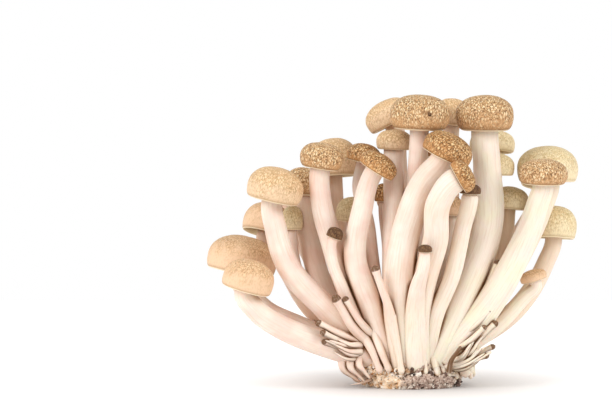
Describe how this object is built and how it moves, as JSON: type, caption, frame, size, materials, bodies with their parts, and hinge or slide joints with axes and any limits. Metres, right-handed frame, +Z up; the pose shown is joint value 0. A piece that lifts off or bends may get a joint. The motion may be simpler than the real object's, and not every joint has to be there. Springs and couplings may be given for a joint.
{
  "type": "brown beech mushroom cluster",
  "caption": "Edible brown mushrooms growing as one cluster: round tan caps on pale curved stems that join in a crumbly cut butt.",
  "frame": {"origin": "centre of the cut face that the cluster stands on", "axes": "+Z up along the stems, +X along the widest spread of the caps, -Y to the front of the cluster"},
  "size_m": [0.1142, 0.067, 0.0889],
  "materials": {
    "cap_skin": "matte",
    "young_skin": "matte",
    "stem_flesh": "satin",
    "butt": "matte"
  },
  "bodies": {
    "root": {"cut_butt": "butt", "stems": "stem_flesh", "cap_01": "cap_skin", "cap_02": "cap_skin", "cap_03": "cap_skin", "cap_04": "cap_skin", "cap_05": "young_skin", "cap_06": "cap_skin", "cap_07": "cap_skin", "cap_08": "cap_skin", "cap_09": "cap_skin", "cap_10": "cap_skin", "cap_11": "cap_skin", "cap_12": "cap_skin", "cap_13": "cap_skin", "cap_14": "cap_skin", "cap_15": "cap_skin", "cap_16": "cap_skin", "cap_17": "cap_skin", "cap_18": "young_skin", "cap_19": "young_skin", "cap_20": "young_skin", "cap_21": "cap_skin", "cap_22": "cap_skin", "cap_23": "cap_skin", "cap_24": "cap_skin", "cap_25": "cap_skin", "cap_26": "young_skin", "cap_27": "cap_skin", "cap_28": "cap_skin", "cap_29": "cap_skin", "cap_30": "young_skin", "cap_31": "cap_skin", "cap_32": "cap_skin", "cap_33": "cap_skin", "cap_34": "cap_skin"}
  },
  "joints": []
}
